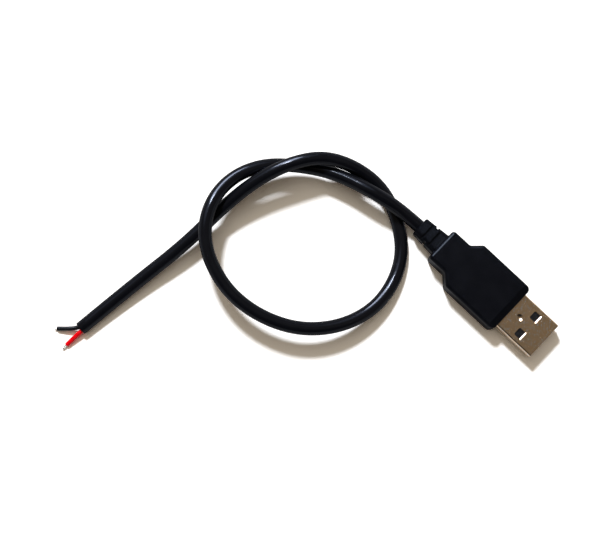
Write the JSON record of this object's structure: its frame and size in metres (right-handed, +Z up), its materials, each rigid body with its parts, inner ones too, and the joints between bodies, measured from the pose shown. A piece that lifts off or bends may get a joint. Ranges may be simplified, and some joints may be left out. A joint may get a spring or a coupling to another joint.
{
  "type": "usb power cable",
  "caption": "Short power cable lying in a loose overhand knot, with a flat moulded plug on one end and bare wire ends on the other.",
  "frame": {"origin": "middle of the plug's underside, on the surface it lies on", "axes": "+X along the plug towards its tip, +Y across the plug, +Z up through its thickness"},
  "size_m": [0.1023, 0.1027, 0.0134],
  "materials": {
    "shell_metal": "satin",
    "insert_plastic": "satin",
    "contact_metal": "polished",
    "overmould_pvc": "semi_matte",
    "inner_plastic": "matte",
    "jacket_pvc": "satin",
    "red_pvc": "satin",
    "black_pvc": "satin",
    "tinned_copper": "satin",
    "solder": "satin"
  },
  "bodies": {
    "root": {"shell": "shell_metal", "insulator": "insert_plastic", "contact_vbus": "contact_metal", "contact_data_minus": "contact_metal", "contact_data_plus": "contact_metal", "contact_ground": "contact_metal", "solder_vbus": "solder", "solder_ground": "solder", "inner_mould": "inner_plastic", "overmould": "overmould_pvc", "cable_jacket": "jacket_pvc", "red_insulation": "red_pvc", "black_insulation": "black_pvc", "red_conductor": "tinned_copper", "black_conductor": "tinned_copper"}
  },
  "joints": []
}
